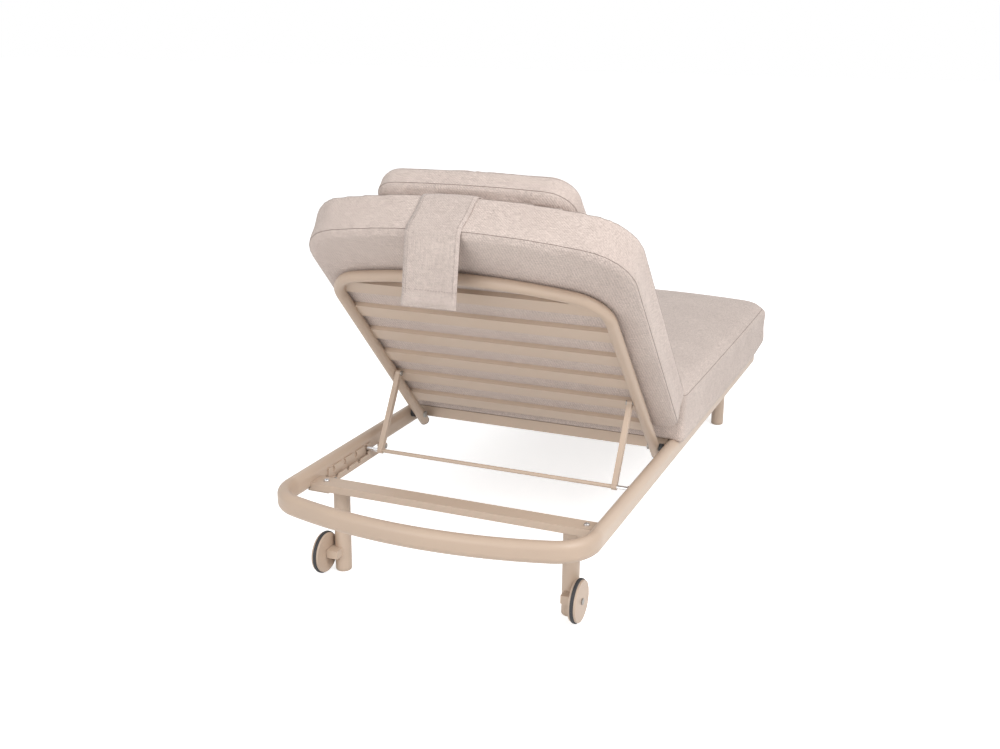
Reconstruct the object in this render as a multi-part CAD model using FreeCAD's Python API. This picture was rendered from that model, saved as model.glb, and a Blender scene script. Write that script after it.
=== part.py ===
import FreeCAD, Part
import math
import os

V = FreeCAD.Vector
os.makedirs("parts", exist_ok=True)

# Base frame: flat-oval rails and bowed ends
RAIL_W = 32.0
RAIL_H = 50.0
RAIL_WALL = 2.0
RAIL_X = 380.0
RAIL_Z = 234.0
HEAD_APEX = 967.0
FOOT_APEX = -957.0
BOW_R = 1050.0
CORNER_R = 95.0
BOW_JOINT = 150.0

# Cross members and legs
CROSS_W = 50.0
CROSS_H = 18.0
CROSS_WALL = 2.0
CROSS_Z = 211.0
HEAD_LEG_INSET = 234.0
FOOT_LEG_INSET = 181.0
CROSS_SHIFT = 8.0
LEG_INSET = 84.0
LEG_D = 40.0
LEG_WALL = 2.0
GLIDE_H = 8.0
GLIDE_PLUG = 20.0
GLIDE_ROUND = 5.0
LUG_T = 5.0
LUG_GAP = 1.0
LUG_LAP = 9.0
SCREW_INSET = 47.0
SCREW_D = 8.0
SCREW_HEAD_D = 14.0
SCREW_HEAD_H = 4.5
SCREW_ROUND = 2.0
SOCKET_D = 6.0
SOCKET_DEEP = 2.7
SLAT_W = 44.0
SLAT_T = 14.0
SLAT_WALL = 1.5
SLAT_DROP = 6.0
SEAT_SLATS = 6
SEAT_SLAT_INSET = 227.0
SEAT_SLAT_END = 10.0
HINGE_BAR_W = 20.0
HINGE_BAR_H = 29.0
HINGE_BAR_DROP = 5.0
HINGE_BAR_GAP = 6.0

# Backrest hinge and hoop
HINGE_INSET = 754.0
HINGE_UP = 10.0
ANGLE = 45.5
TUBE_D = 28.0
TUBE_WALL = 2.0
TUBE_INSET = 24.5
HOOP_APEX = 713.5
HOOP_BOW_R = 1200.0
HOOP_CORNER_R = 90.0
TUBE_TAIL = 38.0
PLUG_T = 2.5
PLUG_STEM = 14.0
BACK_SLATS = 6
BACK_SLAT_W = 43.0
BACK_SLAT_T = 12.0
BACK_SLAT_FIRST = 100.0
BACK_SLAT_PITCH = 106.0
BACK_SLAT_LIFT = 3.5
HINGE_PIN_D = 10.0
HINGE_PIN_LAP = 12.0
HINGE_HEAD_D = 17.0
HINGE_HEAD_T = 3.5
BUSH_D = 22.0
RUN = 0.05
GAP = 0.4

# Prop and racks
PIVOT_S = 236.0
PIVOT_SINK = 4.0
PIN_REACH = 276.6
PROP_PIN_Z = 228.0
PROP_FLAT_LEAN = 4.34
ARM_T = 13.0
ARM_W = 14.0
ARM_EYE_R = 8.0
ARM_SIDE = 0.7
PIVOT_PIN_D = 8.0
PIVOT_PIN_LAP = 8.0
PIVOT_HEAD_D = 13.0
PIVOT_HEAD_T = 3.0
ROD_D = 10.0
PIN_END_X = 358.0
PIN_CHAMFER = 1.0
RACK_X = 350.0
RACK_T = 4.0
RACK_TAIL = 98.0
RACK_HEAD = 24.0
RACK_BOTTOM = 199.0
RACK_SINK = 0.3
RACK_RUN = 0.35
TAIL_R = 7.0
NOTCHES = 3
NOTCH_PITCH = 56.7
NOTCH_R = 9.0
NOTCH_RISE = 1.5
SEAT_BLOCK_L = 12.0
STOP_L = 12.0
STOP_RISE = 4.0
HOOK_TAIL = 26.0
HOOK_RISE = 9.0
HOOK_R = 6.5
HOOK_LEAN = 6.0
HOOK_ROUND = 1.8
RACK_SCREW_D = 6.0
RACK_SCREW_HEAD_D = 11.0
RACK_SCREW_HEAD_T = 3.0
SPACER_D = 12.0
SPACER_LAP = 8.0

# Wheels
WHEEL_D = 104.0
WHEEL_CLEAR = 3.0
WHEEL_BEHIND = 36.0
WHEEL_SIDE = 22.5
DISC_T = 5.0
DISC_ROUND = 1.5
TYRE_T = 8.0
TYRE_DEEP = 12.0
TYRE_ROUND = 2.0
TYRE_INSET = 3.0
AXLE_D = 10.0
AXLE_HEAD_D = 15.0
AXLE_HEAD_T = 2.5
AXLE_INSET = 3.0
BRACKET = 20.0
BRACKET_GAP = 1.0
BRACKET_INSET = 8.0

# Soft pieces: lengths
SOFT = 0.5
SEAT_OVERHANG = 12.0
SEAT_FOOT_OVERHANG = 26.0
SEAT_REAR_GAP = 26.0
SEAT_T = 128.0
SEAT_CROWN = 22.0
SEAT_FOOT_R = 85.0
SEAT_REAR_R = 16.0
SEAT_BOW_R = 20000.0
BACK_OVERHANG = 60.5
BACK_LOW = 74.0
BACK_TOP = 862.0
BACK_LOW_SHIFT = 16.0
BACK_TOP_SHIFT = 20.0
BACK_T = 96.0
BACK_CROWN = 10.0
BACK_LOW_R = 40.0
BACK_TOP_R = 122.0
BACK_BOW_R = 1400.0
PILLOW_HALF_W = 243.0
PILLOW_RISE = 7.0
PILLOW_L = 205.0
PILLOW_SOLE = 17.0
PILLOW_T = 38.0
PILLOW_CROWN = 22.0
PILLOW_R = 68.0
PILLOW_BOW_R = 3000.0
STRAP_HALF_W = 66.0
STRAP_T = 2.5
STRAP_TURN = 40.0
STRAP_FRONT_L = 90.0
FLAP_L = 180.0
WEIGHT_D = 8.0
WEIGHT_HALF = 36.0
POCKET_WALL = 2.0
POCKET_INSET = 4.0
POCKET_UP = 12.0

# Soft pieces: how far each level of a cushion is drawn in, as shares
EDGE_IN = 0.16
SEAM_IN = 0.045
WAIST_IN = 0.03
LOW_SEAM = 0.12
HIGH_SEAM = 0.9
EDGE_UP = 0.04
CROWN_STEPS = ((0.06, 0.38), (0.14, 0.7), (0.26, 0.92), (0.42, 1.0))

# Values that follow
RAIL_TOP = RAIL_Z + RAIL_H / 2
RAIL_INNER = RAIL_X - RAIL_W / 2
CROSS_TOP = CROSS_Z + CROSS_H
HEAD_LEG_Y = HEAD_APEX - HEAD_LEG_INSET
FOOT_LEG_Y = FOOT_APEX + FOOT_LEG_INSET
LEG_X = RAIL_X - LEG_INSET
SCREW_X = RAIL_X - SCREW_INSET
HINGE_Y = HEAD_APEX - HINGE_INSET
HINGE_Z = RAIL_Z + HINGE_UP
HINGE = V(0, HINGE_Y, HINGE_Z)
TUBE_X = RAIL_INNER - TUBE_INSET
TUBE_R = TUBE_D / 2
ROD_R = ROD_D / 2
PROP_PIN_Y = HINGE_Y + PIN_REACH
ARM_OUT = TUBE_X - TUBE_R - ARM_SIDE
ARM_IN = ARM_OUT - ARM_T
WHEEL_X = LEG_X + WHEEL_SIDE
WHEEL_Y = HEAD_LEG_Y + WHEEL_BEHIND
WHEEL_Z = WHEEL_D / 2 + WHEEL_CLEAR
SEAT_HALF_W = RAIL_X + RAIL_W / 2 + SEAT_OVERHANG
SEAT_FOOT = FOOT_APEX - SEAT_FOOT_OVERHANG
SEAT_REAR = HINGE_Y - SEAT_REAR_GAP
BACK_HALF_W = TUBE_X + BACK_OVERHANG
BACK_N = BACK_SLAT_LIFT + BACK_SLAT_T + SOFT
FRONT_N = BACK_N + BACK_T + BACK_CROWN
PILLOW_N = FRONT_N + STRAP_T + 2 * SOFT
PILLOW_TOP = BACK_TOP + PILLOW_RISE
PILLOW_LOW = PILLOW_TOP - PILLOW_L
AX = V(1, 0, 0)


def save(name, *shapes):
    shape = shapes[0] if len(shapes) == 1 else Part.makeCompound(list(shapes))
    shape.exportStep("parts/" + name + ".step")


def mirror_x(shape):
    return shape.mirror(V(0, 0, 0), AX)


def save_pair(name, *shapes):
    save(name, *(list(shapes) + [mirror_x(q) for q in shapes]))


def box(x0, x1, y0, y1, z0, z1):
    return Part.makeBox(x1 - x0, y1 - y0, z1 - z0, V(x0, y0, z0))


def rod(d, a, b):
    axis = b.sub(a)
    return Part.makeCylinder(d / 2, axis.Length, a, axis)


def across_rod(d, x0, x1, y, z):
    return rod(d, V(x0, y, z), V(x1, y, z))


def prism(points, x0, x1):
    # Closed outline in the side view, from x0 to x1
    ring = [V(x0, y, z) for y, z in points]
    return Part.Face(Part.makePolygon(ring + ring[:1])).extrude(V(x1 - x0, 0, 0))


def raise_back(shape):
    turned = shape.copy()
    turned.rotate(HINGE, AX, ANGLE)
    return turned


def flat(x, s, n):
    return V(x, HINGE_Y + s, HINGE_Z + n)


def oval_wire(w, h, centre, along):
    # Flat-oval section standing upright, seen along the direction "along" in plan
    side = V(-along.y, along.x, 0)
    r = w / 2
    k = (h - w) / 2

    def at(a, b):
        return centre + side * a + V(0, 0, b)

    edges = [Part.LineSegment(at(-r, -k), at(-r, k)).toShape(),
             Part.Arc(at(-r, k), at(0, k + r), at(r, k)).toShape(),
             Part.LineSegment(at(r, k), at(r, -k)).toShape(),
             Part.Arc(at(r, -k), at(0, -k - r), at(-r, -k)).toShape()]
    return Part.Wire(edges)


def bow_corner(half, apex, bow_r, corner_r):
    # Centre of the corner that runs into the bow, and the middle and end of its arc
    cx = half - corner_r
    cy = apex - bow_r + math.sqrt((bow_r - corner_r) ** 2 - cx ** 2)
    lean = math.atan2(cy - (apex - bow_r), cx)
    middle = (cx + corner_r * math.cos(lean / 2), cy + corner_r * math.sin(lean / 2))
    end = (cx + corner_r * math.cos(lean), cy + corner_r * math.sin(lean))
    return cy, middle, end


def bow_edges(half, apex, bow_r, corner_r, start, put):
    # Side, rounded corner, shallow bow, rounded corner, side
    cy, middle, end = bow_corner(half, apex, bow_r, corner_r)
    left = [put(half, start), put(half, cy), put(*middle), put(*end)]
    right = [put(-half, start), put(-half, cy), put(-middle[0], middle[1]), put(-end[0], end[1])]
    return [Part.LineSegment(left[0], left[1]).toShape(),
            Part.Arc(left[1], left[2], left[3]).toShape(),
            Part.Arc(left[3], put(0, apex), right[3]).toShape(),
            Part.Arc(right[3], right[2], right[1]).toShape(),
            Part.LineSegment(right[1], right[0]).toShape()]


def swept(path, section):
    return path.makePipeShell([section], True, False)


# Base frame tubes
def frame_bow(apex, sign):
    def put(x, y):
        return V(x, sign * y, RAIL_Z)

    joint = abs(apex) - BOW_JOINT
    path = Part.Wire(bow_edges(RAIL_X, abs(apex), BOW_R, CORNER_R, joint, put))
    start = put(RAIL_X, joint)
    outer = swept(path, oval_wire(RAIL_W, RAIL_H, start, V(0, sign, 0)))
    inner = swept(path, oval_wire(RAIL_W - 2 * RAIL_WALL, RAIL_H - 2 * RAIL_WALL, start, V(0, sign, 0)))
    return outer.cut(inner), sign * joint


head_bow, head_joint = frame_bow(HEAD_APEX, 1)
foot_bow, foot_joint = frame_bow(FOOT_APEX, -1)
save("head_bow", head_bow)
save("foot_bow", foot_bow)


def oval_bar(w, h):
    face = Part.Face(oval_wire(w, h, V(RAIL_X, foot_joint, RAIL_Z), V(0, 1, 0)))
    return face.extrude(V(0, head_joint - foot_joint, 0))


full_rail = oval_bar(RAIL_W, RAIL_H)
rail = full_rail.cut(oval_bar(RAIL_W - 2 * RAIL_WALL, RAIL_H - 2 * RAIL_WALL))
rail = rail.cut(across_rod(HINGE_PIN_D, TUBE_X, RAIL_X, HINGE_Y, HINGE_Z))
save("left_rail", rail)
save("right_rail", mirror_x(rail))


def hollow_bar(x, y0, y1, z0, z1, wall):
    return box(-x, x, y0, y1, z0, z1).cut(box(-x, x, y0 + wall, y1 - wall, z0 + wall, z1 - wall))


def leg_set(name, leg_y, shift):
    mid = leg_y + shift
    half = CROSS_W / 2
    bar = hollow_bar(RAIL_INNER, mid - half, mid + half, CROSS_Z, CROSS_TOP, CROSS_WALL)
    top = V(SCREW_X, mid, CROSS_TOP)
    shank = rod(SCREW_D, V(SCREW_X, mid, CROSS_Z - LUG_T), top)
    crest = top + V(0, 0, SCREW_HEAD_H)
    head = rod(SCREW_HEAD_D, top, crest)
    rim = [e for e in head.Edges if e.BoundBox.ZMin > CROSS_TOP + GAP and e.Closed]
    head = head.makeFillet(SCREW_ROUND, rim)
    socket = rod(SOCKET_D, crest - V(0, 0, SOCKET_DEEP), crest)
    bar = bar.cut(shank).cut(mirror_x(shank))
    lug = box(LEG_X + LEG_D / 2 + LUG_GAP, RAIL_INNER + LUG_LAP, mid - half + LUG_T, mid + half - LUG_T,
              CROSS_Z - LUG_T, CROSS_Z)
    foot = V(LEG_X, leg_y, GLIDE_H)
    leg_top = V(LEG_X, leg_y, CROSS_Z)
    leg = rod(LEG_D, foot, leg_top).cut(rod(LEG_D - 2 * LEG_WALL, foot, leg_top))
    cap = rod(LEG_D, V(LEG_X, leg_y, 0), foot)
    cap = cap.makeFillet(GLIDE_ROUND, [e for e in cap.Edges if e.BoundBox.ZMax < GAP])
    plug = rod(LEG_D - 2 * LEG_WALL, foot, foot + V(0, 0, GLIDE_PLUG))
    save(name + "_crossbar", bar)
    save(name + "_left_leg", leg)
    save(name + "_right_leg", mirror_x(leg))
    return shank.fuse(head).cut(socket), lug.cut(shank).cut(full_rail), cap.fuse(plug)


head_set = leg_set("head", HEAD_LEG_Y, CROSS_SHIFT)
foot_set = leg_set("foot", FOOT_LEG_Y, -CROSS_SHIFT)
save_pair("leg_screws", head_set[0], foot_set[0])
save_pair("leg_lugs", head_set[1], foot_set[1])
save_pair("foot_glides", head_set[2], foot_set[2])

# Seat slats, spread evenly up to the bar at the hinge
bar_y = HINGE_Y - TUBE_TAIL - HINGE_BAR_GAP
bar_top = RAIL_TOP - HINGE_BAR_DROP
hinge_bar = hollow_bar(RAIL_INNER, bar_y - HINGE_BAR_W, bar_y, bar_top - HINGE_BAR_H, bar_top, CROSS_WALL)
save("hinge_crossbar", hinge_bar)
slat_top = RAIL_TOP - SLAT_DROP
first_slat = FOOT_APEX + SEAT_SLAT_INSET
last_slat = bar_y - HINGE_BAR_W - SEAT_SLAT_END - SLAT_W
for k in range(SEAT_SLATS):
    y = first_slat + k * (last_slat - first_slat) / (SEAT_SLATS - 1)
    seat_slat = hollow_bar(RAIL_INNER, y, y + SLAT_W, slat_top - SLAT_T, slat_top, SLAT_WALL)
    save("seat_slat_%d" % (k + 1), seat_slat)

# Hinge pins with their heads and bushes, held by the rails
tube_in = TUBE_X - TUBE_R - GAP
tube_out = TUBE_X + TUBE_R + GAP
pin = across_rod(HINGE_PIN_D, tube_in, RAIL_INNER + HINGE_PIN_LAP, HINGE_Y, HINGE_Z)
pin = pin.fuse(across_rod(HINGE_HEAD_D, tube_in - HINGE_HEAD_T, tube_in, HINGE_Y, HINGE_Z))
save_pair("hinge_pins", pin)
bush = across_rod(BUSH_D, tube_out, RAIL_INNER, HINGE_Y, HINGE_Z).cut(pin)
save_pair("hinge_bushes", bush)

# Backrest hoop, drawn lying flat and then raised about the hinge
hoop_edges = bow_edges(TUBE_X, HOOP_APEX, HOOP_BOW_R, HOOP_CORNER_R, -TUBE_TAIL, lambda x, s: flat(x, s, 0))
hoop_path = Part.Wire(hoop_edges)
hoop_start = flat(TUBE_X, -TUBE_TAIL, 0)
full_hoop = swept(hoop_path, Part.Wire([Part.makeCircle(TUBE_R, hoop_start, V(0, 1, 0))]))
hoop_bore = swept(hoop_path, Part.Wire([Part.makeCircle(TUBE_R - TUBE_WALL, hoop_start, V(0, 1, 0))]))
hoop = full_hoop.cut(hoop_bore)
hinge_hole = across_rod(HINGE_PIN_D + 2 * RUN, tube_in, tube_out, HINGE_Y, HINGE_Z)
arm_face = ARM_IN - GAP
pivot_at = flat(arm_face, PIVOT_S, -PIVOT_SINK)
shank = rod(PIVOT_PIN_D, pivot_at, flat(TUBE_X - PIVOT_PIN_LAP, PIVOT_S, -PIVOT_SINK))
pivot_head = rod(PIVOT_HEAD_D, pivot_at - V(PIVOT_HEAD_T, 0, 0), pivot_at)
for hole in (hinge_hole, shank):
    hoop = hoop.cut(hole).cut(mirror_x(hole))
plug = rod(TUBE_D, hoop_start - V(0, PLUG_T, 0), hoop_start)
plug = plug.fuse(rod(TUBE_D - 2 * TUBE_WALL, hoop_start, hoop_start + V(0, PLUG_STEM, 0)))
save("backrest_hoop", raise_back(hoop))
save_pair("prop_pivot_pins", raise_back(shank.fuse(pivot_head)))
save_pair("tube_plugs", raise_back(plug))

# Back slats run from tube to tube inside the hoop
closing = Part.LineSegment(flat(-TUBE_X, -TUBE_TAIL, 0), hoop_start).toShape()
hoop_field = Part.Face(Part.Wire(hoop_edges + [closing])).extrude(V(0, 0, BACK_N))
for k in range(BACK_SLATS):
    s = HINGE_Y + BACK_SLAT_FIRST + k * BACK_SLAT_PITCH
    z = HINGE_Z + BACK_SLAT_LIFT
    slat = hollow_bar(TUBE_X, s - BACK_SLAT_W / 2, s + BACK_SLAT_W / 2, z, z + BACK_SLAT_T, SLAT_WALL)
    solids = slat.common(hoop_field).cut(full_hoop).Solids
    save("back_slat_%d" % (k + 1), raise_back(max(solids, key=lambda q: q.Volume)))

# Prop: two flat arms and the cross rod whose end pins rest on the racks
raised = raise_back(Part.Vertex(flat(0, PIVOT_S, -PIVOT_SINK))).Point
PIVOT = V(0, raised.y, raised.z)
FOOT = V(0, PROP_PIN_Y, PROP_PIN_Z)
PROP = FOOT.sub(PIVOT)
PROP_DIR = math.degrees(math.atan2(PROP.z, PROP.y))
PROP_RATIO = (-PROP_FLAT_LEAN - PROP_DIR) / ANGLE
along = V(PROP).normalize()
across = V(0, -along.z, along.y) * (ARM_W / 2)
corners = [PIVOT + across, FOOT + across, FOOT - across, PIVOT - across]
arm = prism([(c.y, c.z) for c in corners], ARM_IN, ARM_OUT)
for mid in (PIVOT, FOOT):
    arm = arm.fuse(across_rod(2 * ARM_EYE_R, ARM_IN, ARM_OUT, mid.y, mid.z))
arm = arm.cut(across_rod(PIVOT_PIN_D + 2 * RUN, ARM_IN, ARM_OUT, PIVOT.y, PIVOT.z)).removeSplitter()
save("prop_arm_left", arm)
save("prop_arm_right", mirror_x(arm))
save("prop_rod", across_rod(ROD_D, -ARM_IN, ARM_IN, FOOT.y, FOOT.z))
end_pin = across_rod(ROD_D, ARM_OUT, PIN_END_X, FOOT.y, FOOT.z)
end_pin = end_pin.makeChamfer(PIN_CHAMFER, [e for e in end_pin.Edges if e.BoundBox.XMin > PIN_END_X - GAP])
save_pair("prop_end_pins", end_pin)


# Racks: notched plates under the path of the pins, with a seat and a stop for the steepest setting
def pin_at(angle):
    turn = math.radians(angle)
    y = HINGE_Y + PIVOT_S * math.cos(turn) + PIVOT_SINK * math.sin(turn)
    z = HINGE_Z + PIVOT_S * math.sin(turn) - PIVOT_SINK * math.cos(turn)
    lean = math.radians(PROP_DIR + PROP_RATIO * (ANGLE - angle))
    return y + PROP.Length * math.cos(lean), z + PROP.Length * math.sin(lean)


path = [pin_at(ANGLE * (1 - k / 40.0)) for k in range(41)]
REACH = ROD_R + RACK_RUN
rack_x1 = RACK_X + RACK_T
rack_top = min(z for y, z in path) - REACH - RACK_SINK
rack_mid = (RACK_BOTTOM + rack_top) / 2
rack_y0 = PROP_PIN_Y - RACK_TAIL
rack_y1 = path[-1][0] + RACK_HEAD
plate = box(RACK_X, rack_x1, rack_y0, rack_y1, RACK_BOTTOM, rack_top)
ends = [e for e in plate.Edges if e.BoundBox.YLength < GAP and e.BoundBox.ZLength < GAP]
plate = plate.makeFillet(TAIL_R, ends)
for k in range(1, NOTCHES + 1):
    notch_y = PROP_PIN_Y + k * NOTCH_PITCH
    plate = plate.cut(across_rod(2 * NOTCH_R, RACK_X, rack_x1, notch_y, rack_top + NOTCH_RISE))
bolts = []
spacers = []
for y in (rack_y0 + RACK_SCREW_HEAD_D, rack_y1 - RACK_SCREW_HEAD_D):
    hole = across_rod(RACK_SCREW_D, RACK_X, rack_x1, y, rack_mid)
    plate = plate.cut(hole)
    bolts.append(across_rod(RACK_SCREW_HEAD_D, RACK_X - RACK_SCREW_HEAD_T, RACK_X, y, rack_mid).fuse(hole))
    spacers.append(across_rod(SPACER_D, rack_x1, RAIL_INNER + SPACER_LAP, y, rack_mid).cut(full_rail))
save("rack_left", plate)
save("rack_right", mirror_x(plate))
save_pair("rack_spacers", *spacers)
save_pair("rack_screws", *bolts)
stop_y = PROP_PIN_Y - REACH
fall = (path[0][1] - path[1][1]) / (path[1][0] - path[0][0])
seat_z = PROP_PIN_Z - REACH * math.sqrt(1 + fall ** 2)
seat_end = stop_y + SEAT_BLOCK_L
seat_low = seat_z - fall * (seat_end - PROP_PIN_Y)
end_seat = prism([(stop_y, rack_top), (seat_end, rack_top), (seat_end, seat_low),
                  (stop_y, seat_z + fall * REACH)], RACK_X, rack_x1)
stop_z = PROP_PIN_Z + STOP_RISE
end_stop = prism([(stop_y - STOP_L, rack_top), (stop_y, rack_top), (stop_y, stop_z),
                  (stop_y - STOP_RISE, stop_z)], RACK_X, rack_x1)
save_pair("rack_end_blocks", end_seat, end_stop)

# Hooked plates on the rails, just outside the ends of the pins
hook_x = RAIL_INNER - RACK_T
hook_top = PROP_PIN_Z + HOOK_RISE
hooks = box(hook_x, RAIL_INNER, PROP_PIN_Y - HOOK_TAIL, rack_y1, RACK_BOTTOM, hook_top)
for k in range(NOTCHES + 1):
    y = PROP_PIN_Y + k * NOTCH_PITCH
    slot = [(y - HOOK_R, PROP_PIN_Z), (y + HOOK_R, PROP_PIN_Z), (y + HOOK_R + HOOK_LEAN, hook_top),
            (y - HOOK_R + HOOK_LEAN, hook_top)]
    hooks = hooks.cut(across_rod(2 * HOOK_R, hook_x, RAIL_INNER, y, PROP_PIN_Z))
    hooks = hooks.cut(prism(slot, hook_x, RAIL_INNER))
tips = [e for e in hooks.Edges if e.BoundBox.ZMin > hook_top - GAP and e.BoundBox.YLength < GAP]
hooks = hooks.makeFillet(HOOK_ROUND, tips)
for spacer in spacers:
    hooks = hooks.cut(spacer)
save("rack_hooks_left", hooks)
save("rack_hooks_right", mirror_x(hooks))


# Wheels: two discs with a tyre between, on an axle bolt through a block on the leg
def disc(x0, x1, d, bore):
    return across_rod(d, x0, x1, WHEEL_Y, WHEEL_Z).cut(across_rod(bore, x0, x1, WHEEL_Y, WHEEL_Z))


def rounded(shape, x, radius):
    return shape.makeFillet(radius, [e for e in shape.Edges if abs(e.BoundBox.Center.x - x) < GAP and e.Closed
                                     and e.BoundBox.ZLength > WHEEL_D / 2])


bore = AXLE_D + 2 * RUN
disc_d = WHEEL_D - 2 * TYRE_INSET
core_d = WHEEL_D - 2 * TYRE_DEEP
x1 = WHEEL_X + DISC_T
x2 = x1 + TYRE_T
x3 = x2 + DISC_T
tyre = disc(x1, x2, WHEEL_D, core_d)
tyre = tyre.makeFillet(TYRE_ROUND, [e for e in tyre.Edges if e.Closed and e.BoundBox.ZLength > disc_d])
axle_x = x3 + GAP
axle = across_rod(AXLE_D, LEG_X - AXLE_INSET, axle_x, WHEEL_Y, WHEEL_Z)
block = box(LEG_X - BRACKET_INSET, WHEEL_X - BRACKET_GAP, HEAD_LEG_Y, WHEEL_Y + BRACKET / 2,
            WHEEL_Z - BRACKET / 2, WHEEL_Z + BRACKET / 2)
block = block.cut(rod(LEG_D, V(LEG_X, HEAD_LEG_Y, 0), V(LEG_X, HEAD_LEG_Y, CROSS_Z))).cut(axle)
axle = axle.fuse(across_rod(AXLE_HEAD_D, axle_x, axle_x + AXLE_HEAD_T, WHEEL_Y, WHEEL_Z))
wheel_pieces = {"wheel_%s_inner_disc": rounded(disc(WHEEL_X, x1, disc_d, bore), WHEEL_X, DISC_ROUND),
                "wheel_%s_outer_disc": rounded(disc(x2, x3, disc_d, bore), x3, DISC_ROUND),
                "wheel_%s_hub": disc(x1, x2, core_d, bore),
                "wheel_%s_tyre": tyre,
                "wheel_bracket_%s": max(block.Solids, key=lambda q: q.Volume)}
for name, shape in wheel_pieces.items():
    save(name % "left", shape)
    save(name % "right", mirror_x(shape))
save_pair("axle_bolts", axle)


# Cushions: rounded outlines stacked through their thickness
def outline(x, y0, y1, r0, r1, bow_r, z):
    # Corner radius r0 at y0, and r1 at y1 where the end is bowed
    def put(a, b):
        return V(a, b, z)

    c = math.sqrt(0.5) * r0
    low = y0 + r0
    near = Part.Arc(put(r0 - x, y0), put(r0 - x - c, low - c), put(-x, low)).toShape()
    end = Part.LineSegment(put(x - r0, y0), put(r0 - x, y0)).toShape()
    far = Part.Arc(put(x, low), put(x - r0 + c, low - c), put(x - r0, y0)).toShape()
    return Part.Wire(bow_edges(x, y1, bow_r, r1, low, put) + [near, end, far])


def cushion(x, y0, y1, r0, r1, bow_r, z, sole, thick, crown, lean0, lean1):
    # The underside is crowned by the sole, or flat where that is nothing; the ends lean with the height
    half = min(x, (y1 - y0) / 2)
    levels = [(EDGE_IN * thick, 0.0)]
    if sole > 0:
        levels = [(inset * half, sole * (1 - rise)) for inset, rise in reversed(CROWN_STEPS)]
    levels += [(SEAM_IN * thick, sole + EDGE_UP * thick), (0.0, sole + LOW_SEAM * thick),
               (WAIST_IN * thick, sole + thick / 2),
               (0.0, sole + HIGH_SEAM * thick), (SEAM_IN * thick, sole + thick)]
    levels += [(inset * half, sole + thick + crown * rise) for inset, rise in CROWN_STEPS]
    wires = []
    for inset, up in levels:
        share = up / (sole + thick + crown)
        low = y0 + lean0 * share + inset
        high = y1 + lean1 * share - inset
        # Corners tighten with the inset but keep half of their radius
        near_r = max(r0 - inset, r0 / 2)
        far_r = max(r1 - inset, r1 / 2)
        wires.append(outline(x - inset, low, high, near_r, far_r, bow_r - inset, z + up))
    return Part.makeLoft(wires, True, True)


seat = cushion(SEAT_HALF_W, -SEAT_REAR, -SEAT_FOOT, SEAT_REAR_R, SEAT_FOOT_R, SEAT_BOW_R, RAIL_TOP + SOFT,
               0.0, SEAT_T, SEAT_CROWN, 0.0, 0.0)
save("seat_cushion", seat.mirror(V(0, 0, 0), V(0, 1, 0)))
back = cushion(BACK_HALF_W, HINGE_Y + BACK_LOW, HINGE_Y + BACK_TOP, BACK_LOW_R, BACK_TOP_R, BACK_BOW_R,
               HINGE_Z + BACK_N, 0.0, BACK_T, BACK_CROWN, BACK_LOW_SHIFT, BACK_TOP_SHIFT)
save("back_cushion", raise_back(back))
pillow = cushion(PILLOW_HALF_W, HINGE_Y + PILLOW_LOW, HINGE_Y + PILLOW_TOP, PILLOW_R, PILLOW_R, PILLOW_BOW_R,
                 HINGE_Z + PILLOW_N, PILLOW_SOLE, PILLOW_T, PILLOW_CROWN, 0.0, 0.0)
save("headrest_pillow", raise_back(pillow))

# Strap of the headrest: lies on the cushion front, turns over its leaning top end, flap hangs behind
share = BACK_TOP_SHIFT / (BACK_T + BACK_CROWN)
low_n = HINGE_Z + BACK_N + LOW_SEAM * BACK_T
high_n = HINGE_Z + FRONT_N + SOFT
low_s = HINGE_Y + BACK_TOP + SOFT + share * (low_n - HINGE_Z - BACK_N)
high_s = low_s + share * (high_n + STRAP_T - low_n)
turn_s = high_s - STRAP_TURN
over = prism([(low_s, low_n), (low_s + STRAP_T, low_n), (high_s + STRAP_T, high_n + STRAP_T),
              (turn_s, high_n + STRAP_T), (turn_s, high_n), (high_s - share * STRAP_T, high_n)],
             -STRAP_HALF_W, STRAP_HALF_W)
save("strap_over", raise_back(over))
front = box(-STRAP_HALF_W, STRAP_HALF_W, turn_s - GAP - STRAP_FRONT_L, turn_s - GAP, high_n, high_n + STRAP_T)
save("strap_front", raise_back(front))
hang = raise_back(Part.Vertex(V(0, low_s + 2 * STRAP_T + GAP, low_n))).Point
end_z = hang.z - FLAP_L
weight_z = end_z + POCKET_UP
pocket_x = WEIGHT_HALF + POCKET_INSET
flap = box(-STRAP_HALF_W, STRAP_HALF_W, hang.y - STRAP_T / 2, hang.y + STRAP_T / 2, end_z, hang.z)
flap = flap.fuse(across_rod(STRAP_T, -STRAP_HALF_W, STRAP_HALF_W, hang.y, hang.z))
flap = flap.fuse(across_rod(WEIGHT_D + 2 * POCKET_WALL, -pocket_x, pocket_x, hang.y, weight_z))
weight = across_rod(WEIGHT_D, -WEIGHT_HALF, WEIGHT_HALF, hang.y, weight_z)
save("strap_flap", flap.cut(weight).removeSplitter())
save("counterweight", weight)
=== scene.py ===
import math

import bmesh
import bpy
from mathutils import Matrix, Vector
from mathutils.bvhtree import BVHTree


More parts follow.
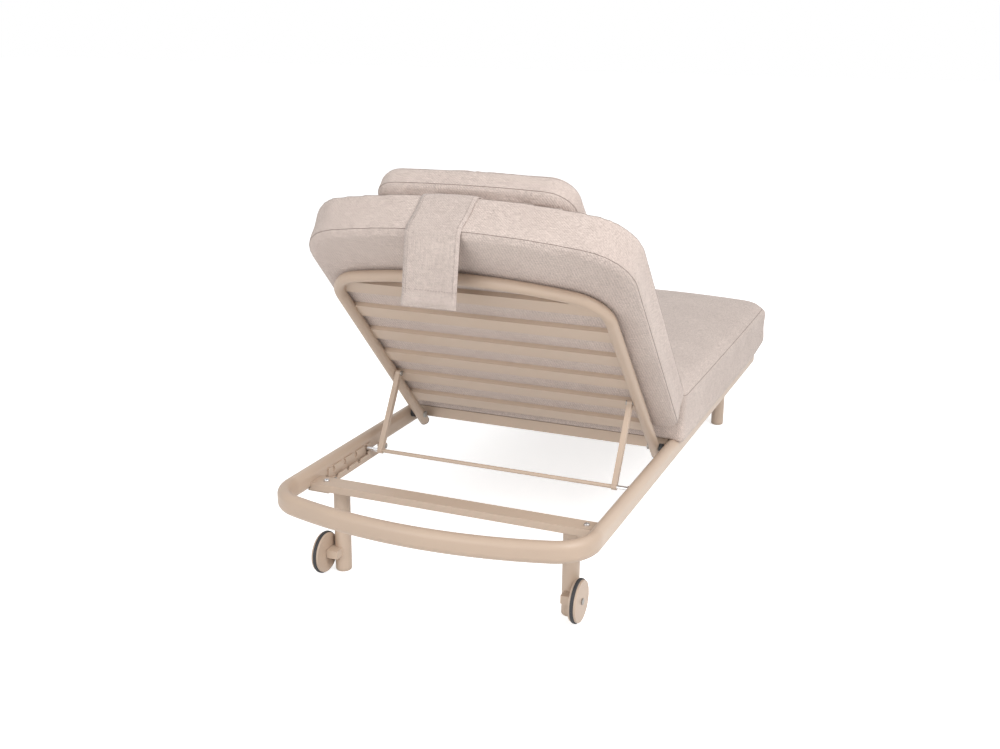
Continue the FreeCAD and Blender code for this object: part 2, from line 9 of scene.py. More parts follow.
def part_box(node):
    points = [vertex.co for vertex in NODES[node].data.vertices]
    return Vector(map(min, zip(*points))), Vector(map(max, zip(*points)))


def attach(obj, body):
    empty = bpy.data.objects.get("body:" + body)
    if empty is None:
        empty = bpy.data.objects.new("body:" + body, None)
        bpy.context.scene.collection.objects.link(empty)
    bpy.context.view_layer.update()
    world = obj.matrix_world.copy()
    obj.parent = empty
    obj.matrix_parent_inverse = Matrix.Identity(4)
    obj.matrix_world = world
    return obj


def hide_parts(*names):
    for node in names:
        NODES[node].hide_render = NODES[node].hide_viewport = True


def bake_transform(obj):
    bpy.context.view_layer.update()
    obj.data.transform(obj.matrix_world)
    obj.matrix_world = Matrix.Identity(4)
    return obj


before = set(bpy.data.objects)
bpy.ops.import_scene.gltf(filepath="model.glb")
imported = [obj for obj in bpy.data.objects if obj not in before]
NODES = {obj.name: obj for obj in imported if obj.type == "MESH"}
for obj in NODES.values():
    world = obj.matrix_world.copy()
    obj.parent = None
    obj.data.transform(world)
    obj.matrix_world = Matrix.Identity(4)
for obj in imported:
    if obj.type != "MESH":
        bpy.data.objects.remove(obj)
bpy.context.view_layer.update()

scene = bpy.context.scene

# Backrest hinge and the sizes that the soft pieces share, in metres
HINGE = Vector((0, 0.213, 0.244))
BACK_ANGLE = math.radians(45.5)
ALONG = Vector((0, math.cos(BACK_ANGLE), math.sin(BACK_ANGLE)))
FRONT = Vector((0, -math.sin(BACK_ANGLE), math.cos(BACK_ANGLE)))
STRAP_HALF_W = 0.066
STRAP_T = 0.003


def on_back(x, along, out):
    """A point of the backrest: across, up along it from the hinge, and out to its cushion side."""
    return HINGE + Vector((x, 0, 0)) + ALONG * along + FRONT * out


def back_coords(point):
    """Across, along and out of a point of the backrest."""
    d = point - HINGE
    return d.x, d.dot(ALONG), d.dot(FRONT)


# Shader node helpers
def add(tree, kind, x=0, y=0, **values):
    node = tree.nodes.new(kind)
    node.location = (x, y)
    for name, value in values.items():
        setattr(node, name, value)
    return node


def link(tree, a, b):
    tree.links.new(a, b)


def new_group(name, inputs, outputs):
    tree = bpy.data.node_groups.new(name, "ShaderNodeTree")
    for label, kind, value in inputs:
        socket = tree.interface.new_socket(label, in_out="INPUT", socket_type=kind)
        socket.default_value = value
    for label, kind in outputs:
        tree.interface.new_socket(label, in_out="OUTPUT", socket_type=kind)
    start = add(tree, "NodeGroupInput", -900)
    end = add(tree, "NodeGroupOutput", 700)
    return tree, start, end


def mix_colour(tree, factor, a, b, x=0, y=0, mode="MIX"):
    node = add(tree, "ShaderNodeMix", x, y, data_type="RGBA", blend_type=mode)
    for socket, value in ((node.inputs[0], factor), (node.inputs[6], a), (node.inputs[7], b)):
        if isinstance(value, (int, float, tuple)):
            socket.default_value = value
        else:
            link(tree, value, socket)
    return node.outputs[2]


def maths(tree, operation, a, b, x=0, y=0):
    node = add(tree, "ShaderNodeMath", x, y, operation=operation)
    for socket, value in ((node.inputs[0], a), (node.inputs[1], b)):
        if isinstance(value, (int, float)):
            socket.default_value = value
        else:
            link(tree, value, socket)
    return node.outputs[0]


def noise(tree, vector, scale, detail=2.0, rough=0.5, x=0, y=0):
    node = add(tree, "ShaderNodeTexNoise", x, y)
    node.inputs["Scale"].default_value = scale
    node.inputs["Detail"].default_value = detail
    node.inputs["Roughness"].default_value = rough
    link(tree, vector, node.inputs["Vector"])
    return node.outputs["Fac"]


def ramp(tree, value, low, high, x=0, y=0):
    node = add(tree, "ShaderNodeMapRange", x, y)
    node.inputs["From Min"].default_value = low
    node.inputs["From Max"].default_value = high
    link(tree, value, node.inputs["Value"])
    return node.outputs["Result"]


def make_weave_group():
    """Twill of mixed pale and dark yarns: colour and thread height."""
    tree, start, end = new_group(
        "twill_weave",
        [("Pale yarn", "NodeSocketColor", (0.6, 0.5, 0.45, 1)),
         ("Dark yarn", "NodeSocketColor", (0.3, 0.24, 0.21, 1)),
         ("Twill pitch", "NodeSocketFloat", 0.0046)],
        [("Color", "NodeSocketColor"), ("Height", "NodeSocketFloat"), ("Roughness", "NodeSocketFloat")])
    coords = add(tree, "ShaderNodeTexCoord", -900, 300).outputs["Object"]
    wobble = noise(tree, coords, 60.0, 2.0, 0.5, -700, 420)
    turn = add(tree, "ShaderNodeVectorMath", -500, 300, operation="DOT_PRODUCT")
    link(tree, coords, turn.inputs[0])
    turn.inputs[1].default_value = (0.62, 0.5, -0.6)
    sway = maths(tree, "MULTIPLY", wobble, 0.003, -500, 480)
    shifted = maths(tree, "ADD", turn.outputs["Value"], sway, -350, 320)
    cycles = maths(tree, "DIVIDE", shifted, start.outputs["Twill pitch"], -200, 320)
    wave = maths(tree, "SINE", maths(tree, "MULTIPLY", cycles, 2 * math.pi, -50, 320), 0.0, 80, 320)
    ridge = ramp(tree, wave, -1.0, 1.0, 220, 320)

    def streaks(stretch, scale, low, high, x, y):
        """Yarns of uneven tone, drawn out along the axes that stretch makes small."""
        drawn = add(tree, "ShaderNodeMapping", x, y)
        drawn.inputs["Scale"].default_value = stretch
        link(tree, coords, drawn.inputs["Vector"])
        yarn = noise(tree, drawn.outputs["Vector"], scale, 2.0, 0.65, x + 200, y)
        return ramp(tree, yarn, low, high, x + 400, y)

    fleck = streaks((1.0, 2.0, 1.5), 330.0, 0.32, 0.7, -900, 0)
    weft = streaks((0.12, 1.0, 1.0), 430.0, 0.3, 0.7, -900, -200)
    warp = streaks((1.0, 0.12, 1.0), 430.0, 0.3, 0.7, -900, -400)
    rise = streaks((1.0, 1.0, 0.12), 430.0, 0.3, 0.7, -900, -500)
    broad = ramp(tree, noise(tree, coords, 9.0, 3.0, 0.6, -500, -600), 0.3, 0.75, -300, -600)
    heather = maths(tree, "MULTIPLY", ridge, 0.14, -150, 120)
    for share, yarn in ((0.26, fleck), (0.2, weft), (0.2, warp), (0.2, rise)):
        heather = maths(tree, "ADD", heather, maths(tree, "MULTIPLY", yarn, share, -150, 0), 0, 0)
    colour = mix_colour(tree, heather, start.outputs["Dark yarn"], start.outputs["Pale yarn"], 300, 0)
    shade = mix_colour(tree, broad, (0.93, 0.92, 0.92, 1), (1.03, 1.03, 1.03, 1), 300, -250)
    link(tree, mix_colour(tree, 1.0, colour, shade, 480, -80, "MULTIPLY"), end.inputs["Color"])
    ridge_height = maths(tree, "MULTIPLY", ridge, 0.6, 300, 320)
    fleck_height = maths(tree, "MULTIPLY", fleck, 0.4, 300, 200)
    link(tree, maths(tree, "ADD", ridge_height, fleck_height, 480, 280), end.inputs["Height"])
    fleck_rough = maths(tree, "MULTIPLY", fleck, 0.12, 300, 480)
    link(tree, maths(tree, "ADD", fleck_rough, 0.8, 480, 480), end.inputs["Roughness"])
    return tree


def make_coat_group():
    """Powder coat: slight mottle, orange peel and rubbed edges."""
    tree, start, end = new_group(
        "powder_coat",
        [("Paint", "NodeSocketColor", (0.6, 0.5, 0.4, 1)), ("Rubbed", "NodeSocketColor", (0.7, 0.6, 0.5, 1)),
         ("Rough", "NodeSocketFloat", 0.42)],
        [("Color", "NodeSocketColor"), ("Roughness", "NodeSocketFloat"), ("Height", "NodeSocketFloat")])
    coords = add(tree, "ShaderNodeTexCoord", -900, 300).outputs["Object"]
    mottle = ramp(tree, noise(tree, coords, 7.0, 4.0, 0.6, -700, 200), 0.3, 0.7, -500, 200)
    peel = noise(tree, coords, 900.0, 2.0, 0.5, -700, 0)
    grain = ramp(tree, noise(tree, coords, 2600.0, 1.0, 0.5, -700, -200), 0.25, 0.75, -500, -200)
    edge = add(tree, "ShaderNodeNewGeometry", -700, -400).outputs["Pointiness"]
    worn = ramp(tree, edge, 0.53, 0.62, -500, -400)
    rubbed = maths(tree, "MULTIPLY", worn, 0.35, -320, -400)
    pale = mix_colour(tree, rubbed, start.outputs["Paint"], start.outputs["Rubbed"], -150, 0)
    tone = mix_colour(tree, mottle, (0.965, 0.965, 0.97, 1), (1.02, 1.02, 1.015, 1), -150, -200)
    speck = mix_colour(tree, grain, (0.97, 0.97, 0.97, 1), (1.02, 1.02, 1.02, 1), -150, -380)
    toned = mix_colour(tree, 1.0, pale, tone, 60, 0, "MULTIPLY")
    link(tree, mix_colour(tree, 1.0, toned, speck, 260, 0, "MULTIPLY"), end.inputs["Color"])
    uneven = maths(tree, "MULTIPLY", mottle, 0.08, 60, 300)
    rough = maths(tree, "ADD", start.outputs["Rough"], uneven, 260, 300)
    link(tree, rough, end.inputs["Roughness"])
    link(tree, peel, end.inputs["Height"])
    return tree


WEAVE = make_weave_group()
COAT = make_coat_group()


def new_material(name):
    material = bpy.data.materials.new(name)
    material.use_nodes = True
    tree = material.node_tree
    shader = tree.nodes["Principled BSDF"]
    return material, tree, shader


def grouped(name, group, values, bump, distance, **sockets):
    """A Principled material fed by one of the shared groups."""
    material, tree, shader = new_material(name)
    node = add(tree, "ShaderNodeGroup", -500, 0)
    node.node_tree = group
    for label, value in values.items():
        node.inputs[label].default_value = value
    link(tree, node.outputs["Color"], shader.inputs["Base Color"])
    link(tree, node.outputs["Roughness"], shader.inputs["Roughness"])
    relief = add(tree, "ShaderNodeBump", -250, -250)
    relief.inputs["Strength"].default_value = bump
    relief.inputs["Distance"].default_value = distance
    link(tree, node.outputs["Height"], relief.inputs["Height"])
    link(tree, relief.outputs["Normal"], shader.inputs["Normal"])
    for label, value in sockets.items():
        shader.inputs[label.replace("_", " ")].default_value = value
    return material


def plain_noise(name, dark, pale, scale, rough, metallic, bump, distance, stretch=(1, 1, 1)):
    """Moulded, rubbed or brushed surfaces: two tones of one colour with a fine grain."""
    material, tree, shader = new_material(name)
    coords = add(tree, "ShaderNodeTexCoord", -900, 0).outputs["Object"]
    spread = add(tree, "ShaderNodeMapping", -720, 0)
    spread.inputs["Scale"].default_value = stretch
    link(tree, coords, spread.inputs["Vector"])
    grain = noise(tree, spread.outputs["Vector"], scale, 3.0, 0.6, -540, 0)
    tone = mix_colour(tree, ramp(tree, grain, 0.3, 0.7, -360, 0), dark, pale, -180, 0)
    link(tree, tone, shader.inputs["Base Color"])
    link(tree, maths(tree, "ADD", maths(tree, "MULTIPLY", grain, 0.15, -360, -200), rough, -180, -200),
         shader.inputs["Roughness"])
    shader.inputs["Metallic"].default_value = metallic
    relief = add(tree, "ShaderNodeBump", -250, -400)
    relief.inputs["Strength"].default_value = bump
    relief.inputs["Distance"].default_value = distance
    link(tree, grain, relief.inputs["Height"])
    link(tree, relief.outputs["Normal"], shader.inputs["Normal"])
    return material


SAND = (0.48, 0.365, 0.28, 1)
SAND_RUBBED = (0.62, 0.5, 0.4, 1)
paint = grouped("sand_powder_coat", COAT, {"Paint": SAND, "Rubbed": SAND_RUBBED, "Rough": 0.4}, 0.05, 0.0004)
glide_plastic = plain_noise("sand_glide_plastic",
                            (0.45, 0.35, 0.27, 1), (0.51, 0.4, 0.31, 1), 400.0, 0.45, 0.0, 0.08, 0.0003)
cloth = grouped("heather_twill_cloth", WEAVE,
                {"Pale yarn": (0.86, 0.735, 0.665, 1), "Dark yarn": (0.23, 0.18, 0.16, 1),
                 "Twill pitch": 0.0042},
                0.55, 0.0012, Sheen_Weight=0.2, Sheen_Roughness=0.5, Sheen_Tint=(0.9, 0.85, 0.8, 1))
strap_cloth = grouped("strap_cloth", WEAVE,
                      {"Pale yarn": (0.76, 0.65, 0.59, 1), "Dark yarn": (0.26, 0.21, 0.187, 1),
                       "Twill pitch": 0.0038},
                      0.5, 0.001, Sheen_Weight=0.2, Sheen_Roughness=0.5)
# Dark seam colour: the thread with painted shade of the seam's crease
seam_thread_and_painted_shade = plain_noise("seam_shadow_thread",
                          (0.16, 0.125, 0.11, 1), (0.3, 0.24, 0.21, 1), 260.0, 0.8, 0.0, 0.3, 0.0004)
stitch_thread = plain_noise("stitch_thread",
                            (0.22, 0.175, 0.155, 1), (0.34, 0.28, 0.25, 1), 700.0, 0.7, 0.0, 0.3, 0.0003)
steel = plain_noise("bright_steel",
                    (0.55, 0.55, 0.56, 1), (0.78, 0.78, 0.79, 1), 300.0, 0.2, 1.0, 0.05, 0.0002, (1, 6, 1))
zinc = plain_noise("dull_zinc", (0.3, 0.285, 0.27, 1), (0.4, 0.385, 0.365, 1), 260.0, 0.42, 1.0, 0.06, 0.0002)
tyre_rubber = plain_noise("tyre_rubber",
                          (0.018, 0.018, 0.02, 1), (0.045, 0.045, 0.048, 1), 500.0, 0.6, 0.0, 0.25, 0.0005)
black_plastic = plain_noise("black_plastic",
                            (0.014, 0.014, 0.015, 1), (0.03, 0.03, 0.032, 1), 400.0, 0.45, 0.0, 0.1, 0.0003)

STEEL_NODES = ("leg_screws", "prop_end_pins", "counterweight")
DULL_NODES = ("rack_screws", "axle_bolts", "hinge_pins", "prop_pivot_pins")
BLACK_NODES = ("tube_plugs", "hinge_bushes", "wheel_left_hub", "wheel_right_hub")


def node_finish(name):
    if name in STEEL_NODES:
        return steel
    if name in DULL_NODES:
        return zinc
    if name in BLACK_NODES:
        return black_plastic
    if name.endswith("tyre"):
        return tyre_rubber
    if name == "foot_glides":
        return glide_plastic
    return paint


for name, node in NODES.items():
    node.data.materials.clear()
    node.data.materials.append(node_finish(name))


# Mesh helpers
def mesh_object(name, verts, faces, material, smooth=True):
    mesh = bpy.data.meshes.new(name)
    mesh.from_pydata([tuple(v) for v in verts], [], faces)
    mesh.update()
    obj = bpy.data.objects.new(name, mesh)
    scene.collection.objects.link(obj)
    mesh.materials.append(material)
    for polygon in mesh.polygons:
        polygon.use_smooth = smooth
    return obj


def apply_modifiers(obj):
    graph = bpy.context.evaluated_depsgraph_get()
    mesh = bpy.data.meshes.new_from_object(obj.evaluated_get(graph))
    obj.modifiers.clear()
    old = obj.data
    obj.data = mesh
    bpy.data.meshes.remove(old)


def tree_of(obj):
    graph = bpy.context.evaluated_depsgraph_get()
    return BVHTree.FromObject(obj, graph)


# Cushions
SEAT_LOW, SEAT_HIGH = (Vector(p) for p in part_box("seat_cushion"))
SEAT_SHIFT = -0.006
BACK_SHIFT = -0.017
PILLOW_SHIFT = -0.026
BACK_REST = 0.0157
BACK_FACE = 0.1225
BACK_LOW = 0.0735
BACK_LOW_LEAN = 0.016
PILLOW_REST = 0.1254
SIDE_SAG = 0.014
FULL_REAR = 0.004
FULL_FOOT = -0.009
FULL_MIDDLE = 0.014
RAIL_MIDDLE = 0.38
RAIL_ROUND = 0.016
RAIL_ROUND_Z = 0.243


def stuff(node_name, piece_name, voxel, draw_in, swell, shift, hold):
    """The cushion's solid filled under pressure: its skin moves within limits, and its resting sides stay."""
    source = NODES[node_name]
    mesh = source.data.copy()
    mesh.transform(source.matrix_world)
    mesh.transform(Matrix.Translation((shift, 0, 0)))
    obj = bpy.data.objects.new(piece_name, mesh)
    scene.collection.objects.link(obj)
    remesh = obj.modifiers.new("even_mesh", "REMESH")
    remesh.mode = "VOXEL"
    remesh.voxel_size = voxel
    smooth = obj.modifiers.new("soften", "SMOOTH")
    smooth.factor = 0.5
    smooth.iterations = 4
    apply_modifiers(obj)
    before = [(v.co.copy(), v.normal.copy()) for v in obj.data.vertices]
    filling = obj.modifiers.new("filling", "CLOTH")
    settings = filling.settings
    settings.use_pressure = True
    settings.uniform_pressure_force = 4.0
    settings.effector_weights.gravity = 0.0
    settings.quality = 4
    settings.bending_stiffness = 2.0
    filling.point_cache.frame_start = 1
    filling.point_cache.frame_end = 20
    for step in range(1, 21):
        scene.frame_set(step)
    apply_modifiers(obj)
    scene.frame_set(1)
    for vertex, (origin, outward) in zip(obj.data.vertices, before):
        move = vertex.co - origin
        rise = move.dot(outward)
        slide = move - outward * rise
        if slide.length > draw_in:
            slide *= draw_in / slide.length
        vertex.co = hold(origin + slide + outward * min(max(rise, -draw_in), swell))
    obj.data.materials.clear()
    obj.data.materials.append(cloth)
    finer = obj.modifiers.new("finer", "SUBSURF")
    finer.levels = 1
    finer.render_levels = 1
    apply_modifiers(obj)
    for polygon in obj.data.polygons:
        polygon.use_smooth = True
    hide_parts(node_name)
    return obj


def ease(value):
    value = min(max(value, 0.0), 1.0)
    return value * value * (3 - 2 * value)


def rail_top(x):
    """The height of the side rail's round top under the cushion."""
    past = abs(x) - RAIL_MIDDLE
    if past <= 0:
        return SEAT_LOW.z
    return RAIL_ROUND_Z + math.sqrt(max(RAIL_ROUND ** 2 - past ** 2, 0.0)) + 0.0006


def hold_seat(point):
    """The seat's sides sag over the rails, and its top is fuller along the middle and towards the back."""
    x, y, z = point
    y = min(y, SEAT_HIGH.y)
    along = (y - SEAT_LOW.y) / (SEAT_HIGH.y - SEAT_LOW.y)
    fuller = FULL_FOOT + (FULL_REAR - FULL_FOOT) * along + FULL_MIDDLE * (1 - (x / SEAT_HIGH.x) ** 2)
    z += fuller * ease((z - SEAT_LOW.z) / (SEAT_HIGH.z - SEAT_LOW.z))
    z -= SIDE_SAG * ease((SEAT_LOW.z + 0.055 - z) / 0.045) * ease((along - 0.03) / 0.2)
    return Vector((x, y, max(z, rail_top(x))))


def hold_back(point):
    """The back cushion keeps flat on the slats, and clear of the pillow and of the seat."""
    x, along, out = back_coords(point)
    out = min(max(out, BACK_REST), BACK_FACE)
    lowest = BACK_LOW + BACK_LOW_LEAN * (out - BACK_REST) / (BACK_FACE - BACK_REST)
    return on_back(x, max(along, lowest), out)


def hold_pillow(point):
    """The pillow keeps clear of the strap under it."""
    x, along, out = back_coords(point)
    return on_back(x, along, max(out, PILLOW_REST))


seat_cushion = stuff("seat_cushion", "seat_cushion_cover", 0.008, 0.002, 0.004, SEAT_SHIFT, hold_seat)
back_cushion = stuff("back_cushion", "back_cushion_cover", 0.007, 0.002, 0.004, BACK_SHIFT, hold_back)
pillow = stuff("headrest_pillow", "headrest_pillow_cover", 0.005, 0.002, 0.003, PILLOW_SHIFT, hold_pillow)
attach(seat_cushion, "base")
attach(back_cushion, "backrest")
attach(pillow, "headrest")


# Seams: a sunk dark line round each edge of the gussets, the seam's thread with painted shade of its crease
SEAM_R = 0.0009
SEAM_SINK = 0.0003
SEAM_STEP = 0.004
SEAT_SEAM_UP = 0.1225
BACK_SEAMS_OUT = (("back_front_seam", 0.107), ("back_rear_seam", 0.026))
PILLOW_SEAMS_OUT = (("pillow_front_seam", 0.187), ("pillow_rear_seam", 0.1455))


def section_loop(obj, point, normal):
    """The closed line where a plane cuts a cushion, with the surface's normals."""
    work = bmesh.new()
    work.from_mesh(obj.data)
    whole = work.verts[:] + work.edges[:] + work.faces[:]
    cut = bmesh.ops.bisect_plane(work, geom=whole, plane_co=point, plane_no=normal)
    work.normal_update()
    ring = {}
    for edge in cut["geom_cut"]:
        if isinstance(edge, bmesh.types.BMEdge):
            a, b = edge.verts
            ring.setdefault(a, []).append(b)
            ring.setdefault(b, []).append(a)
    first = next(iter(ring))
    loop = [first]
    seen = {first}
    while True:
        onward = [v for v in ring[loop[-1]] if v not in seen]
        if not onward:
            break
        loop.append(onward[0])
        seen.add(onward[0])
    line = [(v.co.copy(), v.normal.copy()) for v in loop]
    work.free()
    return line


def tube_along(name, points, radius, material, sides=6):
    """A closed tube through points."""
    verts = []
    faces = []
    count = len(points)
    for k in range(count):
        ahead = (points[(k + 1) % count] - points[k - 1]).normalized()
        side = ahead.cross(Vector((0.31, 0.17, 0.94))).normalized()
        rise = side.cross(ahead)
        for j in range(sides):
            a = 2 * math.pi * j / sides
            verts.append(points[k] + side * (radius * math.cos(a)) + rise * (radius * math.sin(a)))
    for k in range(count):
        for j in range(sides):
            n = (j + 1) % sides
            m = (k + 1) % count
            faces.append((k * sides + j, k * sides + n, m * sides + n, m * sides + j))
    return mesh_object(name, verts, faces, material)


def seam(name, cushion, body, point, normal):
    """The seam at one level of a cushion, laid a little into its surface."""
    line = section_loop(cushion, point, normal)
    laid = []
    for spot, outward in line:
        if not laid or (spot - laid[-1]).length > SEAM_STEP:
            laid.append(spot - outward * SEAM_SINK)
    # The dark seam line is the thread with painted shade of the crease
    obj = tube_along(name, laid, SEAM_R, seam_thread_and_painted_shade)
    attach(obj, body)


UPWARD = Vector((0, 0, 1))
seam("seat_upper_seam", seat_cushion, "base", Vector((0, 0, SEAT_LOW.z + SEAT_SEAM_UP)), UPWARD)
for name, out in BACK_SEAMS_OUT:
    seam(name, back_cushion, "backrest", on_back(0, 0.5, out), FRONT)
for name, out in PILLOW_SEAMS_OUT:
    seam(name, pillow, "headrest", on_back(0, 0.77, out), FRONT)


# Strap of the headrest: rows of points across it, over the cushion's end to the flap's hem
back_surface = tree_of(back_cushion)
ACROSS = 15
LIFT = STRAP_T / 2 + 0.0006
CORE = (0.80, 0.065)
BEND_OUT = 0.0265
SKEW_START = -0.018
SKEW = 0.044
POCKET_SWELL = 0.0045
POCKET_HALF_H = 0.02
STITCH_HALF_W = 0.0008
HANG = Vector((0, 0.803214, 0.8838694))
HEM_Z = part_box("strap_flap")[0][2]
WEIGHT_Z = (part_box("counterweight")[0][2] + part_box("counterweight")[1][2]) / 2


def strap_x(k, share):
    """The strap lies a little askew: it starts to the right and hangs to the left."""
    return STRAP_HALF_W * (2 * k / (ACROSS - 1) - 1) + (SKEW_START + SKEW * share)


def over_row(k, steps):
    angle = math.radians(80 - 108 * k / steps)
    row = []
    for c in range(ACROSS):
        x = strap_x(c, 0.75 * k / steps)
        far = on_back(x, CORE[0] + 0.2 * math.cos(angle), CORE[1] + 0.2 * math.sin(angle))
        aim = (on_back(x, *CORE) - far).normalized()
        hit, normal, _, _ = back_surface.ray_cast(far, aim)
        row.append(hit + normal * LIFT)
    return row


OVER_STEPS = 44
over_rows = [over_row(k, OVER_STEPS) for k in range(OVER_STEPS + 1)]
over_rows = [row for row in over_rows if back_coords(row[ACROSS // 2])[2] > BEND_OUT]
bend = over_rows[-1]
FLAP_STEPS = 46


def flap_row(share):
    """The flap folds off the edge and hangs, bowed a little."""
    fall = ease(share / 0.08)
    row = []
    for c in range(ACROSS):
        x = strap_x(c, 0.75 + 0.25 * share)
        z = bend[c].z + (HEM_Z - bend[c].z) * share
        bow = 0.0012 * math.sin(math.pi * share) * math.cos(math.pi * x / (2.4 * STRAP_HALF_W))
        row.append(Vector((x, bend[c].y * (1 - fall) + (HANG.y + bow) * fall, z)))
    return row


flap_rows = [flap_row((k + 1) / FLAP_STEPS) for k in range(FLAP_STEPS)]
rows = over_rows + flap_rows


def band(name, rows, half_thick, material):
    """A cloth band of two faces joined round its edge, half_thick(row) from its middle to a face."""
    across = len(rows[0])
    count = len(rows)
    faces_out = []
    faces_in = []
    for r in range(count):
        ahead = rows[min(r + 1, count - 1)][across // 2] - rows[max(r - 1, 0)][across // 2]
        side = rows[r][across - 1] - rows[r][0]
        normal = side.cross(ahead).normalized()
        half = half_thick(rows[r])
        for c, point in enumerate(rows[r]):
            # Folded edges are thinner than the middle
            edge = 0.55 if c in (0, across - 1) else 1.0
            faces_out.append(point + normal * half * edge)
            faces_in.append(point - normal * half * edge)
    verts = faces_out + faces_in
    shift = count * across
    faces = []
    for r in range(count - 1):
        for c in range(across - 1):
            i = r * across + c
            faces.append((i, i + across, i + across + 1, i + 1))
            faces.append((shift + i, shift + i + 1, shift + i + across + 1, shift + i + across))
        for i, turn in ((r * across, 1), (r * across + across - 1, -1)):
            quad = (i, shift + i, shift + i + across, i + across)
            faces.append(quad if turn > 0 else quad[::-1])
    for i0, turn in ((0, -1), ((count - 1) * across, 1)):
        for c in range(across - 1):
            quad = (i0 + c, shift + i0 + c, shift + i0 + c + 1, i0 + c + 1)
            faces.append(quad[::-1] if turn > 0 else quad)
    return mesh_object(name, verts, faces, material)


def flap_half(row):
    """Half the thickness: the pocket at the hem swells round the weight."""
    z = row[ACROSS // 2].z
    near = ease(1 - abs(z - WEIGHT_Z) / POCKET_HALF_H)
    hanging = abs(row[ACROSS // 2].y - HANG.y) < 0.003
    return STRAP_T / 2 + (POCKET_SWELL * near if hanging else 0.0)


def stitches(name, line, lift):
    """Short threads laid along a line of (point, normal) pairs."""
    verts = []
    faces = []
    for (a, na), (b, nb) in zip(line[::2], line[1::2]):
        ahead = (b - a).normalized()
        side = ahead.cross(na).normalized() * STITCH_HALF_W
        base = len(verts)
        for point, normal in ((a, na), (b, nb)):
            top = point + normal * lift
            low = normal * 0.0006
            high = normal * 0.0004
            verts += [top - side - low, top - side * 0.5 + high, top + side * 0.5 + high, top + side - low]
        for j in range(3):
            faces.append((base + j, base + j + 1, base + 5 + j, base + 4 + j))
        faces.append((base, base + 1, base + 2, base + 3))
        faces.append((base + 7, base + 6, base + 5, base + 4))
    return mesh_object(name, verts, faces, stitch_thread)


def row_normal(r, rows):
    """The strap's outward direction at one row."""
    ahead = rows[min(r + 1, len(rows) - 1)][ACROSS // 2] - rows[max(r - 1, 0)][ACROSS // 2]
    return (rows[r][-1] - rows[r][0]).cross(ahead).normalized()


def side_line(c, rows):
    """Points down one column of the strap, two to a row, with normals."""
    line = []
    for r in range(len(rows) - 1):
        a = rows[r][c]
        b = rows[r + 1][c]
        for j in range(2):
            line.append((a.lerp(b, j / 2), row_normal(r, rows)))
    return line


def cross_line(r, rows):
    """Points across one row of the strap, with normals."""
    row = rows[r]
    line = []
    for k in range(41):
        at = k / 40 * (ACROSS - 1)
        c = min(int(at), ACROSS - 2)
        line.append((row[c].lerp(row[c + 1], at - c), row_normal(r, rows)))
    return line


strap = band("headrest_strap", rows, flap_half, strap_cloth)
POCKET_ROW = len(over_rows) + round(FLAP_STEPS * 0.77)
sewn = [stitches("strap_left_stitches", side_line(1, rows), STRAP_T / 2),
        stitches("strap_right_stitches", side_line(ACROSS - 2, rows), STRAP_T / 2),
        stitches("strap_pocket_stitches", cross_line(POCKET_ROW, rows), STRAP_T / 2)]
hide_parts("strap_over", "strap_flap")
for piece in [strap] + sewn:
    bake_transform(piece)

# The strap's other end, sewn under the pillow
FRONT_OUT = 0.1238
FRONT_TOP = 0.845
FRONT_L = 0.09
FRONT_HALF_T = 0.0009
FRONT_STEPS = 24
under_rows = []
for k in range(FRONT_STEPS + 1):
    along = FRONT_TOP - FRONT_L * k / FRONT_STEPS
    under_rows.append([on_back(strap_x(c, 0.0), along, FRONT_OUT) for c in range(ACROSS)])
under = band("headrest_strap_front", under_rows, lambda row: FRONT_HALF_T, strap_cloth)
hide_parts("strap_front")
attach(under, "headrest")


# Floor, backdrop and light
def white_to_camera(tree, seen, hidden, x=0, y=0):
    """A strength seen by the camera and in mirrors, and another for the light that falls on the lounger."""
    path = add(tree, "ShaderNodeLightPath", x, y)
    direct = maths(tree, "MAXIMUM", path.outputs["Is Camera Ray"], path.outputs["Is Glossy Ray"], x + 200, y)
    reach = add(tree, "ShaderNodeMapRange", x + 400, y)
    reach.inputs["To Min"].default_value = hidden
    reach.inputs["To Max"].default_value = seen
    link(tree, direct, reach.inputs["Value"])
    return reach.outputs["Result"]


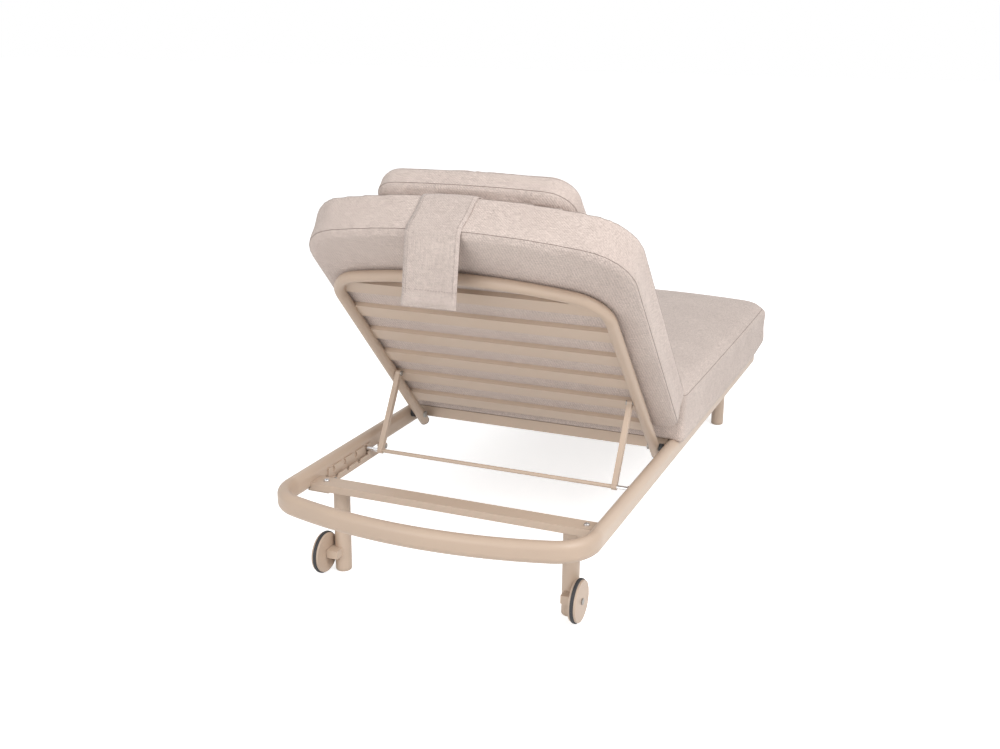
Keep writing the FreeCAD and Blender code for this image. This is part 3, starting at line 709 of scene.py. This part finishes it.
floor_material, floor_tree, floor_shader = new_material("studio_white")
floor_shader.inputs["Base Color"].default_value = (0.75, 0.75, 0.75, 1)
floor_shader.inputs["Roughness"].default_value = 1.0
floor_shader.inputs["Emission Color"].default_value = (1, 1, 1, 1)
link(floor_tree, white_to_camera(floor_tree, 0.66, 0.0, -700, -300), floor_shader.inputs["Emission Strength"])
SPAN = 30.0
CORNERS = [(-SPAN, -SPAN, 0), (SPAN, -SPAN, 0), (SPAN, SPAN, 0), (-SPAN, SPAN, 0)]
floor = mesh_object("studio_floor", CORNERS, [(0, 1, 2, 3)], floor_material, False)
world = bpy.data.worlds.new("studio")
scene.world = world
world.use_nodes = True
sky = world.node_tree
sky.nodes["Background"].inputs["Color"].default_value = (1, 1, 1, 1)
link(sky, white_to_camera(sky, 1.0, 0.6, -800, 0), sky.nodes["Background"].inputs["Strength"])


def lamp(name, place, aim, size, power):
    light = bpy.data.lights.new(name, "AREA")
    light.shape = "RECTANGLE"
    light.size, light.size_y = size
    light.energy = power
    obj = bpy.data.objects.new(name, light)
    obj.location = place
    obj.rotation_euler = (Vector(aim) - Vector(place)).to_track_quat("-Z", "Y").to_euler()
    scene.collection.objects.link(obj)


lamp("key_softbox", (-2.8, 1.7, 2.9), (0, 0.2, 0.4), (2.2, 2.2), 105)
lamp("rear_fill", (0.9, 4.3, 1.5), (0, 0.3, 0.5), (3.0, 2.0), 60)
lamp("seat_fill", (-1.0, -2.0, 3.0), (0, -0.5, 0.35), (2.5, 2.5), 15)

# Camera at the photograph's place
CAMERA = Vector((-1.1032, 3.1325, 1.3035))
YAW = 0.3902
PITCH = 0.2824
ROLL = 0.0107
FOCAL_PIXELS = 1212.7
IMAGE_WIDTH = 1000
forward = Vector((math.sin(YAW) * math.cos(PITCH), -math.cos(YAW) * math.cos(PITCH), -math.sin(PITCH)))
level_right = forward.cross(Vector((0, 0, 1))).normalized()
level_up = level_right.cross(forward)
right = level_right * math.cos(ROLL) + level_up * math.sin(ROLL)
up = level_up * math.cos(ROLL) - level_right * math.sin(ROLL)
camera_data = bpy.data.cameras.new("photo_camera")
camera_data.sensor_fit = "HORIZONTAL"
camera_data.sensor_width = 36.0
camera_data.lens = 36.0 * FOCAL_PIXELS / IMAGE_WIDTH
camera_data.clip_end = 100.0
camera = bpy.data.objects.new("photo_camera", camera_data)
camera.matrix_world = Matrix((
    (right.x, up.x, -forward.x, CAMERA.x),
    (right.y, up.y, -forward.y, CAMERA.y),
    (right.z, up.z, -forward.z, CAMERA.z),
    (0, 0, 0, 1)))
scene.collection.objects.link(camera)
scene.camera = camera
scene.view_settings.view_transform = "Standard"
